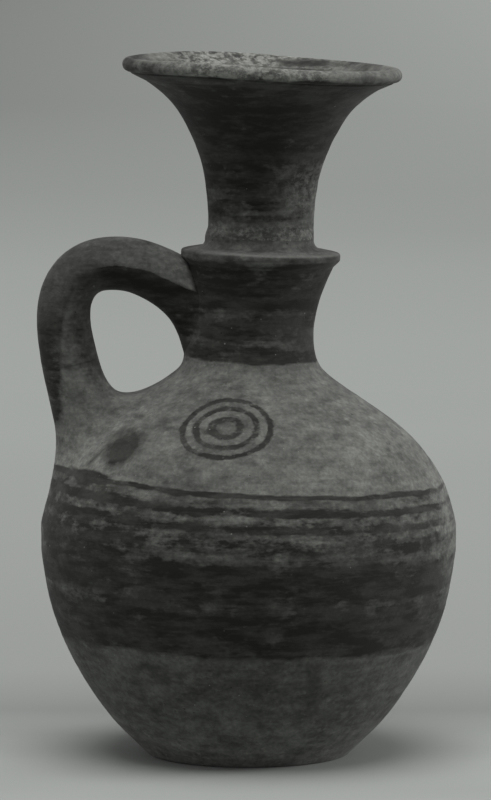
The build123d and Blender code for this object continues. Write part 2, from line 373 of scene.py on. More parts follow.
def skin_grid():
    """The whole outer skin with its relief, from the base over the lip and down the inside."""
    grid = turned(skin_line)
    depth = relief(grid)
    groove = np.linalg.norm(skin_line - (lip_under - lip_run * lip_groove_back), axis=1)
    depth -= (lip_groove_depth * np.exp(-(groove / lip_groove_width) ** 2))[:, None]
    lifted = grid + outward(grid) * depth[..., None]
    flat = skin_line[:, 1] <= 0
    lifted[flat] = grid[flat]
    lifted[..., 2] = np.maximum(lifted[..., 2], 0)
    return lifted


skin = skin_grid()


def nearest_row(column, value, first, end):
    """The row of the skin with the nearest radius (column 0) or height (column 1)."""
    return first + int(np.argmin(np.abs(skin_line[first:end, column] - value)))


def skin_row(height):
    """The row of the skin at a height between the base and the ridge."""
    return nearest_row(1, height, len(base_line), ridge_start)


# First and last rows of the seams' clay. The mouth's reaches from the ledge to the funnel's foot.
belly_coil_rows = skin_row(belly_coil_low), skin_row(belly_coil_high)
neck_coil_rows = skin_row(neck_coil_low), skin_row(neck_coil_high)
mouth_coil_top = nearest_row(1, ridge_height + mouth_coil_rise, ridge_start, funnel_end)
mouth_coil_rows = nearest_row(0, mouth_coil_radius, ridge_start, mouth_coil_top), mouth_coil_top


def add_object(name, data):
    thing = bpy.data.objects.new(name, data)
    bpy.context.collection.objects.link(thing)
    return thing


def make_piece(name, grid, caps=(), closed=False, extra=None):
    """A mesh from a grid of points whose second axis runs round. Caps are the middle points that close
    its first and last row."""
    rows, steps = grid.shape[:2]
    points = grid.reshape(-1, 3)
    index = np.arange(rows * steps).reshape(rows, steps)
    following = np.roll(index, -1, axis=1)
    last = rows if closed else rows - 1
    faces = []
    for row in range(last):
        up = (row + 1) % rows
        faces += np.stack([index[row], following[row], following[up], index[up]], axis=1).tolist()
    for middle, left, right in zip(caps, (following[0], index[-1]), (index[0], following[-1])):
        points = np.vstack([points, middle])
        pole = np.full(steps, len(points) - 1)
        faces += np.stack([pole, left, right], axis=1).tolist()
    mesh = bpy.data.meshes.new(name)
    mesh.from_pydata((points * metres_per_mm).tolist(), [], faces)
    for key, values in (extra or {}).items():
        layer = mesh.attributes.new(key, "FLOAT", "POINT")
        layer.data.foreach_set("value", np.asarray(values, np.float32).ravel())
    mesh.shade_smooth()
    mesh.set_sharp_from_angle(angle=math.radians(sharp_angle))
    return add_object(name, mesh)


# Thrown pieces: each takes its rows of the skin, and hidden rows close it behind
wall_line = inner_side(smooth_line(bowl_and_neck_points(), wall_spacing), body_wall)
belly_groove = [(belly_coil_tip_radius, belly_height), (belly_radius - body_wall, belly_height)]
neck_groove_tip = (neck_coil_tip_radius, neck_seam_height)
seam_clearance = 1.0
bowl_corner_rise = 3.0
bowl_corner_inset = 4.0
bowl_floor_dish = 0.8
bowl_floor_radius = 12.0
shoulder_inside_drop = 6.0
spigot_seat_rise = 1.4
bore_edge_rise = 1.2
bore_steps = 10
mouth_coil_tuck = 0.6


def wall_rows(low, high):
    """Rows of the inner wall of the body between two heights, from the upper one down."""
    line = wall_line[(wall_line[:, 1] > low) & (wall_line[:, 1] < high)]
    return [tuple(p) for p in line[::-1]]


def make_lower_body():
    inside = wall_rows(base_thickness + bowl_corner_rise, belly_height - seam_clearance)
    floor_edge = (inside[-1][0] - bowl_corner_inset, base_thickness + bowl_floor_dish)
    hidden = turned(belly_groove + inside + [floor_edge, (bowl_floor_radius, base_thickness)])
    grid = np.concatenate([skin[:belly_coil_rows[0] + 1], hidden])
    return make_piece("bowl_thrown", grid, [(0, 0, 0), (0, 0, base_thickness)])


def make_ring(name, low, high, hidden):
    """A piece that runs round the jug: rows of the skin, and hidden rows behind them."""
    return make_piece(name, np.concatenate([skin[low:high + 1], turned(hidden)]), closed=True)


def make_belly_coil():
    return make_ring("belly_coil_smoothed", *belly_coil_rows, belly_groove[:1])


def make_shoulder():
    neck_edge = [neck_groove_tip, (neck_bore_radius + seam_clearance, neck_seam_height)]
    inside = wall_rows(belly_height + seam_clearance, neck_seam_height - shoulder_inside_drop)
    hidden = neck_edge + inside + belly_groove[::-1]
    return make_ring("dome_thrown", belly_coil_rows[1], neck_coil_rows[0], hidden)


def make_neck_coil():
    return make_ring("neck_coil_smoothed", *neck_coil_rows, [neck_groove_tip])


def make_neck():
    seat = [(mouth_foot_radius, ridge_height + spigot_seat_rise),
            (neck_bore_radius, ridge_height + bore_edge_rise)]
    bore = [(neck_bore_radius, between(ridge_height, neck_seam_height, share))
            for share in np.linspace(0, 1, bore_steps + 1)]
    hidden = seat + bore + [neck_groove_tip]
    return make_ring("neck_thrown", neck_coil_rows[1], mouth_coil_rows[0], hidden)


def make_mouth_coil():
    radius = mouth_foot_radius - mouth_coil_tuck
    corner = [(radius, ridge_height + mouth_coil_rise - mouth_coil_tuck),
              (radius, ridge_height + spigot_seat_rise)]
    return make_ring("mouth_coil_smoothed", *mouth_coil_rows, corner)


def make_mouth():
    spigot = [(spigot_radius, ridge_height + rise) for rise in (-spigot_depth, seam_clearance)]
    return make_ring("mouth_thrown", mouth_coil_rows[1], len(skin) - 1, spigot)


# Handle: an oval roll swept along its path, from the neck over the crest to the shoulder
handle_around = 120
handle_spacing = 0.8
handle_arris_share = 0.45
handle_start = 23.2
handle_end = 86.4
handle_tuck_rows = 3
handle_tuck_share = 0.86
root_thickening_share = 0.6
# Clay added to the handle's inner side and outer back, as (share of its path, thickness)
inner_fill = [(0.0, 1.6), (0.18, 1.5), (0.27, 0.7), (0.4, 0.1), (0.55, 0.1), (0.74, 0.75)]
outer_fill = [(0.5, -0.18), (0.72, 0.35)]
crest_height = ridge_height + handle_crest_rise - handle_thickness / 2
crest_reach = handle_reach - handle_thickness / 2
handle_middle = smooth_line([(-crest_reach * across, between(belly_height, crest_height, up))
                             for across, up in handle_path_shares], handle_spacing)
handle_first, handle_last = int(handle_start / handle_spacing), int(handle_end / handle_spacing)
handle_turns = np.linspace(0, 2 * math.pi, handle_around, endpoint=False)


def handle_grid():
    """Rings of the handle's roll; turn 0 is its outer back, and half a turn on is its inner side."""
    along = unit(np.gradient(handle_middle, axis=0))
    back = np.stack([along[:, 1], -along[:, 0]], axis=1)
    share = np.linspace(0, 1, len(handle_middle))
    thickening = np.clip((share - root_thickening_share) / (1 - root_thickening_share), 0, 1)
    depth = between(handle_thickness, handle_root_thickness, thickening) / 2
    inner_depth = depth + np.interp(share, *zip(*inner_fill))
    outer_depth = depth + np.interp(share, *zip(*outer_fill))
    across = np.cos(handle_turns)
    across = between(across, across * np.abs(across), handle_arris_share)
    across = np.where(across > 0, outer_depth[:, None], inner_depth[:, None]) * across
    x = handle_middle[:, 0][:, None] + back[:, 0][:, None] * across
    z = handle_middle[:, 1][:, None] + back[:, 1][:, None] * across
    y = np.broadcast_to(handle_width / 2 * np.sin(handle_turns), x.shape)
    return np.stack([x, y, z], axis=-1)


handle_rings = handle_grid()


def with_relief(grid):
    return grid + outward(grid) * relief(grid)[..., None]


def turn_shares(rows):
    """How far each point of a handle piece lies from the outer back, as a share of half a turn."""
    return np.tile(np.arccos(np.cos(handle_turns)) / math.pi, rows)


def make_handle():
    first, last = handle_first, handle_last
    rings = with_relief(handle_rings[first - 1:last + 2])[1:-1]
    tucked = [handle_rings[first - handle_tuck_rows], handle_rings[last + handle_tuck_rows]]
    ends = [between(ring.mean(axis=0), ring, handle_tuck_share) for ring in tucked]
    grid = np.concatenate([ends[:1], rings, ends[1:]])
    extra = {"turn_share": np.append(turn_shares(len(grid)), [0, 0])}
    caps = [end.mean(axis=0) for end in ends]
    return make_piece("handle_rolled", grid, caps, extra=extra)


# Wads of clay at the handle's ends. A landing is (middle height, reach up, reach down, half width) on
# the skin. A hold is how long a wad's lines keep their way at one end, on the handle's outer back, on
# its flanks and on its inner side.
wad_steps = 30
wad_sink = 0.1
wad_back_share = 0.84
wad_back_step = 6
wad_innermost_radius = 20.6
handle_paint_fade = 0.35
root_landing = (116.3, 37.0, 33.5, 23.0)
root_leave_hold = (24.0, 15.0, 13.8)
root_arrive_hold = (29.0, 11.0, 22.4)
root_paint_end = 0.75
top_landing = (168.0, 8.5, 24.0, 13.5)
top_leave_hold = (9.0, 9.0, 11.0)
top_arrive_hold = (9.0, 9.0, 8.0)
top_bulge = 3.0
top_buried_row = 3
top_straight_start = 0.35


def meridian_height(start, reach):
    """The height reached from a starting height by going along the outline."""
    places = lengths_along(side_line)
    return np.interp(np.interp(start, side_line[:, 1], places) + reach, places, side_line[:, 1])


def landing(middle_height, reach_up, reach_down, half_width):
    """The oval on the skin where a wad runs out, and the way out from its middle at each point."""
    def oval(scale):
        run = -np.cos(handle_turns) * np.where(np.cos(handle_turns) > 0, reach_down, reach_up) * scale
        height = meridian_height(middle_height, run)
        radius = np.interp(height, side_line[:, 1], side_line[:, 0])
        turn = np.pi - np.arcsin(np.clip(half_width * scale * np.sin(handle_turns) / radius, -1, 1))
        return place(radius - wad_sink, height, turn)
    return oval(1.0), unit(oval(1.02) - oval(0.98))


def by_turn(outer, flank, inner):
    """A length that goes over from the handle's outer back by its flanks to its inner side."""
    across = np.cos(handle_turns)
    return between(flank, np.where(across > 0, outer, inner), across ** 2)


def wad_grid(ring, onward, edge, way, holds, bulge, stop=1.0):
    """Rows that leave the handle's ring along the roll and come down onto the skin."""
    share = (np.linspace(0, 1, wad_steps)[:, None] * stop)[..., None]
    rest = 1 - share
    leave, arrive = (hold[:, None] for hold in holds)
    aside = np.zeros_like(edge)
    aside[:, 0] = -bulge * np.clip(-np.cos(handle_turns), 0, 1) ** 2
    return (rest ** 3 * ring + 3 * rest ** 2 * share * (ring + onward * leave)
            + 3 * rest * share ** 2 * (edge - way * arrive + aside) + share ** 3 * edge)


def stop_in_wall(grid):
    """The share of its course at which each line of a wad has gone far enough into the neck's wall."""
    radius = np.hypot(grid[..., 0] - lean_at(ridge_height), grid[..., 1])
    shares = np.linspace(0, 1, wad_steps)
    return np.array([np.interp(-wad_innermost_radius, -line, shares) for line in radius.T])


def make_wad(name, row, sense, ends, holds, bulge, paint_end):
    """A wad from a ring of the handle to its edge on the skin. Its hidden rows are smaller copies of
    the outer ones. The handle's paint fades out towards a share of its course."""
    ring = handle_rings[row]
    onward = unit(handle_rings[row + sense] - handle_rings[row - sense])
    stop = stop_in_wall(wad_grid(ring, onward, *ends, holds, bulge))
    grid = wad_grid(ring, onward, *ends, holds, bulge, stop)
    outer = with_relief(grid)
    if sense < 0:
        outer = grid * 2 - outer
    hidden = [between(line.mean(axis=0), line, wad_back_share) for line in grid[::-wad_back_step]]
    hidden.append(between(ring.mean(axis=0), ring, wad_back_share))
    hidden[0] = hidden[0] + (grid[-1].mean(axis=0) - ring.mean(axis=0)) * (1 - wad_back_share) / 3
    full = np.concatenate([outer, hidden])
    fade = ease((paint_end - np.linspace(0, 1, wad_steps)) / handle_paint_fade)
    fade = np.repeat(np.append(fade, np.zeros(len(hidden))), handle_around)
    extra = {"turn_share": turn_shares(len(full)), "handle_share": fade.reshape(len(full), -1)[::sense]}
    return make_piece(name, full[::sense], closed=True, extra=extra)


def make_root_wad():
    holds = by_turn(*root_leave_hold), by_turn(*root_arrive_hold)
    ends = landing(*root_landing)
    return make_wad("handle_root_smoothed", handle_last, 1, ends, holds, 0.0, root_paint_end)


def make_top_wad():
    """The lower half runs out down the neck; the upper half goes straight on into it, under the ridge."""
    flip = (handle_around // 2 - np.arange(handle_around)) % handle_around
    edge, way = (points[flip] for points in landing(*top_landing))
    straight = ease((np.cos(handle_turns) + top_straight_start) / (2 * top_straight_start))
    ahead = handle_rings[top_buried_row]
    onward = unit(ahead - handle_rings[top_buried_row + 1])
    ends = between(edge, ahead, straight[:, None]), between(way, onward, straight[:, None])
    reach = (handle_first - top_buried_row) * handle_spacing / 3
    holds = [between(by_turn(*hold), reach, straight) for hold in (top_leave_hold, top_arrive_hold)]
    return make_wad("handle_top_smoothed", handle_first, -1, ends, holds, top_bulge, 1.0)


# Materials: each value over the surface is worked out by math nodes from the position in millimetres
def connect(tree, value, socket):
    """Puts a number, a colour, a field or another node's output on a socket."""
    if isinstance(value, Field):
        value = value.socket
    if isinstance(value, bpy.types.NodeSocket):
        tree.links.new(value, socket)
    elif socket.type == "RGBA":
        socket.default_value = (*value, 1)
    else:
        socket.default_value = value


def add_node(tree, kind, inputs, **settings):
    """A new node with its settings, and something on each of the given inputs."""
    node = tree.nodes.new("ShaderNode" + kind)
    for name, value in settings.items():
        setattr(node, name, value)
    for key, value in inputs.items():
        connect(tree, value, node.inputs[key])
    return node


class Field:
    """A value over the surface, made of nodes, that takes part in sums with numbers and other fields."""

    def __init__(self, tree, socket):
        self.tree = tree
        self.socket = socket

    def use(self, operation, *others, clamp=False):
        values = dict(enumerate((self,) + others))
        node = add_node(self.tree, "Math", values, operation=operation, use_clamp=clamp)
        return Field(self.tree, node.outputs[0])

    def __add__(self, other):
        return self.use("ADD", other)

    def __sub__(self, other):
        return self.use("SUBTRACT", other)

    def __mul__(self, other):
        return self.use("MULTIPLY", other)

    def most(self, other):
        return self.use("MAXIMUM", other)

    def least(self, other):
        return self.use("MINIMUM", other)

    def clamped(self):
        return self.use("ADD", 0.0, clamp=True)

    def above(self, edge, soft):
        """1 where the value is above an edge, 0 below it, and a slope of the given width between."""
        return self.use("MULTIPLY_ADD", 1 / soft, 0.5 - edge / soft, clamp=True)

    def below(self, edge, soft):
        return self.use("MULTIPLY_ADD", -1 / soft, 0.5 + edge / soft, clamp=True)

    def within(self, middle, half_width, soft):
        """1 within a half width of the middle value, 0 outside it."""
        return (self - middle).use("ABSOLUTE").below(half_width, soft)

    def from_to(self, start, end):
        """The value that lies this share of the way from the start to the end."""
        return self.use("MULTIPLY_ADD", end - start, start)


def hypotenuse(*sides):
    squares = [side * side for side in sides]
    return sum(squares[1:], squares[0]).use("SQRT")


spot_softness = 0.5
spot_sizes = (0.4, 1.3)


class ClayTree:
    """The node tree of one clay material."""

    def __init__(self, name):
        self.material = bpy.data.materials.new(name)
        self.material.use_nodes = True
        self.tree = self.material.node_tree
        self.shader = self.tree.nodes["Principled BSDF"]
        inputs = {0: self.add("TexCoord", {}).outputs["Object"], "Scale": 1 / metres_per_mm}
        self.position = self.add("VectorMath", inputs, operation="SCALE").outputs[0]
        split = self.add("SeparateXYZ", {0: self.position})
        self.x, self.y, self.z = (Field(self.tree, output) for output in split.outputs)

    def add(self, kind, inputs, **settings):
        return add_node(self.tree, kind, inputs, **settings)

    def mapped(self, sizes, shift):
        inputs = {"Vector": self.position, "Scale": [1 / size for size in sizes],
                  "Location": (shift, shift * 0.7, shift * 1.3)}
        return self.add("Mapping", inputs).outputs[0]

    def noise(self, sizes, shift, detail=3.0, roughness=0.55):
        """Mottling with the given grain sizes, mostly between 0.3 and 0.7."""
        inputs = {"Vector": self.mapped(sizes, shift), "Scale": 1.0, "Detail": detail,
                  "Roughness": roughness}
        return Field(self.tree, self.add("TexNoise", inputs).outputs["Fac"])

    def swing(self, depth, *grain):
        """Mottling that goes up and down about zero."""
        return (self.noise(*grain) - 0.5) * depth

    def spots(self, spacing, radius, shift, share):
        """Round spots of a radius, in a share of the cells of a grid of the given spacing."""
        cells = self.add("TexVoronoi", {"Vector": self.mapped((spacing,) * 3, shift), "Scale": 1.0})
        pick = self.add("SeparateColor", {0: cells.outputs["Color"]})
        chosen = Field(self.tree, pick.outputs[0]).below(share, 0.02)
        size = Field(self.tree, pick.outputs[1]).from_to(*spot_sizes)
        near = Field(self.tree, cells.outputs["Distance"]).use("DIVIDE", size)
        return near.below(radius / spacing, spot_softness * radius / spacing) * chosen

    def steps(self, field, stops, low, high):
        """A value that follows the (place, value) stops between two limits."""
        share = field.use("MULTIPLY_ADD", 1 / (high - low), -low / (high - low))
        node = self.add("ValToRGB", {"Fac": share})
        elements = node.color_ramp.elements
        while len(elements) < len(stops):
            elements.new(0.5)
        for element, (at, value) in zip(elements, stops):
            element.position = (at - low) / (high - low)
            element.color = (value, value, value, 1)
        return Field(self.tree, node.outputs["Color"])

    def attribute(self, name):
        return Field(self.tree, self.add("Attribute", {}, attribute_name=name).outputs["Fac"])

    def blend(self, first, second, share):
        """A colour that goes over from the first to the second."""
        inputs = {"Factor": share, "A": first, "B": second}
        return self.add("Mix", inputs, data_type="RGBA").outputs["Result"]

    def shaded(self, colour, share):
        """A colour multiplied by a field."""
        return self.add("VectorMath", {0: colour, "Scale": share}, operation="SCALE").outputs[0]

    def finish(self, inputs):
        """Puts something on each of the shader's given inputs."""
        for name, value in inputs.items():
            connect(self.tree, value, self.shader.inputs[name])
        return self.material


# Colours of the clay, the paint and the lime, and how far the bare clay mostly is from dark to light
clay_dark = (0.082, 0.0845, 0.077)
clay_light = (0.238, 0.2438, 0.2245)
clay_pale = (0.42, 0.425, 0.39)
paint_dark = (0.0102, 0.0105, 0.0081)
paint_thin = (0.0405, 0.0417, 0.0355)
lime_pale = (0.34, 0.345, 0.32)
clay_middle = 0.45

# Noises, as (grain size along each axis in mm, place in the noise, octaves, roughness). Those that
# swing about zero have their depth in front.
clay_mottles = [(0.9, (30, 30, 18), 101.3, 2.0), (1.5, (9, 9, 5), 107.9),
                (0.7, (28, 28, 1.8), 113.1), (1.2, (3.4, 3.4, 2.2), 118.3)]
fine_grain = ((1.4, 1.4, 1.4), 61.7, 3.0, 0.62)
lime_veil = ((5, 5, 3.2), 77.7, 4.0, 0.68)
lime_grain = ((2.8, 2.8, 2.2), 121.7, 4.0, 0.7)
band_swings = [(3.4, (34, 34, 20), 3.1, 1.0), (1.8, (8, 8, 3.5), 8.7, 2.0)]
circle_swings = [(1.7, (9, 9, 9), 12.9, 1.5), (1.5, (2.2, 2.2, 2.2), 19.3, 2.0)]
circle_wear = ((2.8, 2.8, 2.0), 15.9, 3.0, 0.6)
paint_blotches = (1.4, (11, 11, 6), 15.3)
brush_marks = (0.7, (26, 26, 1.8), 5.9)
paint_bits = (0.7, (3.4, 3.4, 1.7), 25.9, 3.0, 0.62)
paint_wash = (2.6, (16, 16, 4), 137.9, 4.0, 0.66)
smear_grain = (0.9, (5, 5, 4), 31.3)
drip_grain = ((3, 3, 6), 44.1)
stripe_edge = (0.12, (6, 6, 6), 131.3)
bump_rings = ((12, 12, 0.9), 91.1, 2.0)
bump_lumps = ((5, 5, 4), 97.3)

# Where noises and paint set in, as (edge, softness), and what shares of wear or tone they give
veil_edge, coat_edge, paint_edge = (0.64, 0.1), (0.9, 0.5), (0.4, 0.8)
cover_edge, density_edge = (0.58, 0.85), (0.1, 0.16)
drip_edge, speck_edge, lip_lime_edge = (0.42, 0.4), (0.53, 0.16), (0.5, 0.15)
circle_wear_range = (-0.22, 2.38)
grain_range, pit_range, roughness_range = (0.4, 1.6), (1.0, 0.45), (0.92, 0.77)

# Spots, as (spacing and radius in mm, place in the noise, share of places that have one)
lime_flecks = (2.6, 0.26, 71.3, 0.06)
small_pits = (3.3, 0.34, 83.9, 0.12)

# Painted levels at the middle of the body and neck, in mm, and how dense the paint is there
body_bands = [(42.2, 0.0), (44.2, 0.85), (47.0, 0.98), (58.6, 1.0), (61.2, 0.78), (63.4, 0.76),
              (65.2, 1.0), (75.2, 1.02), (78.0, 0.68), (80.4, 0.61), (81.6, 0.8), (84.8, 0.84),
              (86.2, 0.6), (88.2, 0.56), (89.2, 0.98), (90.9, 0.98), (91.9, 0.55), (94.0, 0.52),
              (94.9, 1.0), (96.5, 1.0), (97.5, 0.48), (100.0, 0.42), (100.7, 1.0), (101.8, 1.0),
              (102.5, 0.0)]
neck_bands = [(142.4, 0.0), (143.3, 0.95), (147.0, 0.95), (149.6, 0.78), (161.5, 0.8), (163.5, 1.12),
              (167.5, 1.12), (169.5, 0.92), (178.2, 0.94), (179.5, 0.66), (181.6, 0.6), (182.2, 0.34),
              (184.5, 0.3), (188.5, 0.36), (191.5, 0.6), (200.0, 0.78), (206.0, 0.92), (214.0, 0.94),
              (215.5, 1.12), (219.0, 1.12), (220.5, 1.0), (223.5, 1.04), (225.0, 1.16), (237.0, 1.16),
              (239.0, 1.0), (245.2, 0.96), (246.3, 0.3)]
body_band_range = (40.0, 105.0)
neck_band_range = (140.0, 250.0)
band_slopes = (0.02, 0.045)

# Concentric circles, as (radius in mm, density of the paint), and their middles on the shoulder
circle_rings = [(0.0, 0.56), (3.2, 0.48), (4.2, 0.9), (6.1, 0.9), (7.0, 0.3), (9.5, 0.22), (10.2, 0.94),
                (11.8, 0.94), (12.7, 0.18), (14.4, 0.14), (15.1, 1.0), (16.6, 1.0), (17.5, 0.0)]
circle_range = (0.0, 20.0)
circle_flattening = 1.19
circle_middles = [(-7.9, -48.0, 123.1), (45.6, 17.8, 123.1), (-21.7, 43.5, 123.1)]

# Places on the jug in mm, as (edge, softness) or (middle, half width, softness). The smear's middle
# is (x, z), and its strokes lie aside of its way and along it.
front_y = (0.0, 1.0)
front_fade_y = (0.0, 8.0)
slope_change_z = (72.5, 59.0)
block_x, block_level = (-56.0, 7.0, 4.0), (101.4, 1.9, 1.4)
# Limbs where the paint thins: wear, and painted sheen that lightens the jug's edges
right_limb_wear_and_sheen_x, left_limb_wear_and_sheen_x = (68.0, 7.0), (-73.0, 3.0)
broken_level = (90.0, 9.0, 4.0)
# Denser paint at the left of the bands, which also stands for painted shade on the side away from the
# light
left_paint_and_shade_x, left_paint_and_shade_level = (-40.0, 26.0), (90.0, 12.0, 5.0)
# Painted shade: heights where the lower body is darkened, as it turns down away from the light
lower_body_shade_z = (33.0, 22.0, 14.0)
smear_middle, smear_way, smear_narrowing = (-44.6, 114.6), (0.8, 0.6), (0.105, 0.215)
smear_edge = (0.86, 0.42)
upper_stroke_aside, upper_stroke_along = (4.6, 0.6, 1.0), (1.5, 4.5, 4.0)
lower_stroke_aside, lower_stroke_along = (3.9, 0.5, 0.8), (-9.5, 5.0, 4.0)
lower_stroke_slant = 0.12
drip_x, drip_z = (22.5, 2.0, 1.4), (32.0, 11.0, 4.0)
lip_slope_share = 0.042
lip_cover_level = (246.0, 1.0)
patch_x, patch_y, patch_z = (20.5, 9.5, 4.0), (20.0, 8.0), (246.9, 1.3, 1.2)
bald_x, bald_level = (12.0, 14.0), (201.0, 12.0, 14.0)
stain_x, stain_z = (-35.0, 12.0), (243.0, 2.0)
inside_y = (10.0, 20.0)
lip_lime_x = (2.0, 28.0, 20.0)
foot_lime_level, foot_lime_x = (187.4, 4.4, 2.4), (-2.0, 36.0)
side_lime_level, side_lime_x = (204.0, 9.0, 10.0), (13.0, 10.0)
# Painted highlight: a pale line along the ridge's top edge, in front
ridge_highlight_level, ridge_highlight_x = (182.2, 0.35, 0.5), (-16.0, 20.0)
limb_x, stripe_z = (-50.0, 12.0), (142.0, 27.0, 18.0)
under_x, under_z = (-56.0, 12.0), (146.0, 14.0)
upper_x, upper_z = (-40.0, 24.0), (164.0, 14.0)
inner_z = (136.0, 20.0)
stripe_turn, under_turn, inner_turn = (0.0, 0.1), (0.51, 0.03), (0.6, 0.16)
stripe_widening, stripe_narrowing = 0.0085, 0.8
bend_x, bend_z = (-40.0, 30.0), (150.0, 40.0)
near_neck_axis, near_neck_radius, near_neck_under = 3.0, (25.4, 2.4), 3.6


def band_level(clay):
    """Level of the bands, a little uneven: lower ones are nearly level, upper ones fall towards +x."""
    level = clay.z + clay.x * clay.z.above(*slope_change_z).from_to(*band_slopes)
    for swing in band_swings:
        level = level + clay.swing(*swing)
    return level


def brushed(clay, density, broken=0.0):
    """Paint that covers where density and brush marks add up, and thins out or breaks up elsewhere."""
    bits = clay.swing(*paint_bits)
    if broken:
        bits = bits + bits * broken
    cover = density + clay.swing(*paint_blotches) + clay.swing(*brush_marks) + bits
    return cover.above(*cover_edge) * density.above(*density_edge)


def circles(clay):
    near = None
    for x, y, z in circle_middles:
        reach = hypotenuse(clay.x - x, clay.y - y, (clay.z - z) * circle_flattening)
        near = reach if near is None else near.least(reach)
    for swing in circle_swings:
        near = near + clay.swing(*swing)
    worn = clay.noise(*circle_wear).from_to(*circle_wear_range).clamped()
    return clay.steps(near, circle_rings, *circle_range) * worn


def smear(clay):
    """A dark rubbed patch left of the circles, with two thin dark strokes above it."""
    x, z = clay.x - smear_middle[0], clay.z - smear_middle[1]
    along = x * smear_way[0] + z * smear_way[1]
    aside = x * -smear_way[1] + z * smear_way[0]
    reach = hypotenuse(along * smear_narrowing[0], aside * smear_narrowing[1])
    patch = (reach + clay.swing(*smear_grain)).below(*smear_edge)
    upper = aside.within(*upper_stroke_aside) * along.within(*upper_stroke_along)
    lower = (aside - along * lower_stroke_slant).within(*lower_stroke_aside)
    lower = lower * along.within(*lower_stroke_along)
    return (patch * 0.82).most(upper * 0.5).most(lower * 0.6) * clay.y.below(*front_y)


def drip(clay):
    streak = clay.x.within(*drip_x) * clay.z.within(*drip_z) * clay.y.below(*front_y)
    return streak * clay.noise(*drip_grain).above(*drip_edge) * 0.5


def clay_mottling(clay):
    """How light the bare clay is, from slow clouds, patches, wheel streaks and small grains."""
    lightness = clay_middle
    for mottle in clay_mottles:
        lightness = clay.swing(*mottle) + lightness
    return lightness.clamped()


def clay_colour(clay, paint, shade, lime, grain, fleck, pit):
    """The colour from the clay outwards: mottling, a shade factor (painted shade on the lower body, darker
    clay on the handle), paint, lime and fine grain.
    """
    colour = clay.blend(clay_dark, clay_light, clay_mottling(clay))
    colour = clay.blend(colour, clay_pale, clay.noise(*lime_veil).above(*veil_edge) * 0.25)
    # Shade factor: painted shade on the lower body, darker clay on the handle
    if shade is not None:
        colour = clay.shaded(colour, shade)
    thickness = paint + clay.swing(*paint_wash)
    coat = clay.blend(paint_thin, paint_dark, thickness.above(*coat_edge))
    colour = clay.blend(colour, coat, paint.above(*paint_edge))
    # Lime, and on the neck the ridge's painted highlight
    if lime is not None:
        colour = clay.blend(colour, lime_pale, lime)
    colour = clay.blend(colour, clay_pale, fleck * 0.5)
    return clay.shaded(colour, grain.from_to(*grain_range) * pit.from_to(*pit_range))


# Fine relief in mm
bump_grain_height = 0.07
bump_ring_height = 0.09
bump_lump_height = 0.14
pit_depth = 0.18
fleck_height = 0.03
paint_height = 0.02
lime_height = 0.25


def fine_relief(clay, paint, lime, grain, fleck, pit):
    height = grain * bump_grain_height + clay.noise(*bump_rings) * bump_ring_height
    height = height + clay.noise(*bump_lumps) * bump_lump_height - pit * pit_depth
    height = height + fleck * fleck_height + paint * paint_height
    if lime is not None:
        height = height + lime * lime_height
    return clay.add("Bump", {"Height": height, "Distance": metres_per_mm}).outputs[0]


def finish_clay(clay, paint, shade=None, lime=None):
    """Joins clay, paint and lime into the shader."""
    grain = clay.noise(*fine_grain)
    fleck = clay.spots(*lime_flecks)
    pit = clay.spots(*small_pits)
    return clay.finish({
        "Base Color": clay_colour(clay, paint, shade, lime, grain, fleck, pit),
        "Roughness": paint.from_to(*roughness_range) + (grain - 0.5) * 0.2,
        "Diffuse Roughness": 0.8,
        "Specular IOR Level": 0.3,
        "Sheen Weight": 0.06,
        "Sheen Roughness": 0.5,
        "Normal": fine_relief(clay, paint, lime, grain, fleck, pit),
    })


def body_paint(clay):
    """The bands, the block at their upper left end and the circles, worn off at the right limb and a
    little at the left limb, where this is also painted sheen that lightens the limbs.
    """
    level = band_level(clay)
    block = clay.x.within(*block_x) * level.within(*block_level) * clay.y.below(*front_y)
    density = clay.steps(level, body_bands, *body_band_range).most(block * 0.95).most(circles(clay))
    # Thinner paint at the limbs: wear, and painted sheen on the edges
    worn = clay.x.above(*right_limb_wear_and_sheen_x).most(clay.x.below(*left_limb_wear_and_sheen_x) * 0.3)
    # Denser paint on the left: paint, and painted shade on the side away from the light
    dark = clay.x.below(*left_paint_and_shade_x) * level.within(*left_paint_and_shade_level)
    paint = brushed(clay, density + dark * 0.2 - worn * 0.5, level.within(*broken_level))
    return paint.most(smear(clay)).most(drip(clay))


def lower_body_painted_shade(clay):
    """Painted shade: the lower body, turned down away from the light above, is darker above its foot."""
    return clay.z.within(*lower_body_shade_z).from_to(1.0, 0.6)


def lip_level(clay):
    return clay.z + clay.x * lip_slope_share


def lip_cover(clay):
    """1 on the lip, above the paint of the funnel's outside."""
    return lip_level(clay).above(*lip_cover_level)


def mouth_patch(clay):
    """A dark patch inside the mouth, at the back right of the rim."""
    return clay.x.within(*patch_x) * clay.y.above(*patch_y) * clay.z.within(*patch_z)


def neck_paint(clay):
    """The painted collar and funnel, balder at the right, with a stain at the lip's left end."""
    level = band_level(clay)
    bald = clay.x.above(*bald_x) * level.within(*bald_level)
    stain = clay.x.below(*stain_x) * clay.z.above(*stain_z)
    inside = clay.y.above(*inside_y) * lip_cover(clay)
    density = clay.steps(level, neck_bands, *neck_band_range) - bald * 0.25
    return brushed(clay, density.most(stain * 1.05).most(inside * 0.6).most(mouth_patch(clay) * 0.7))


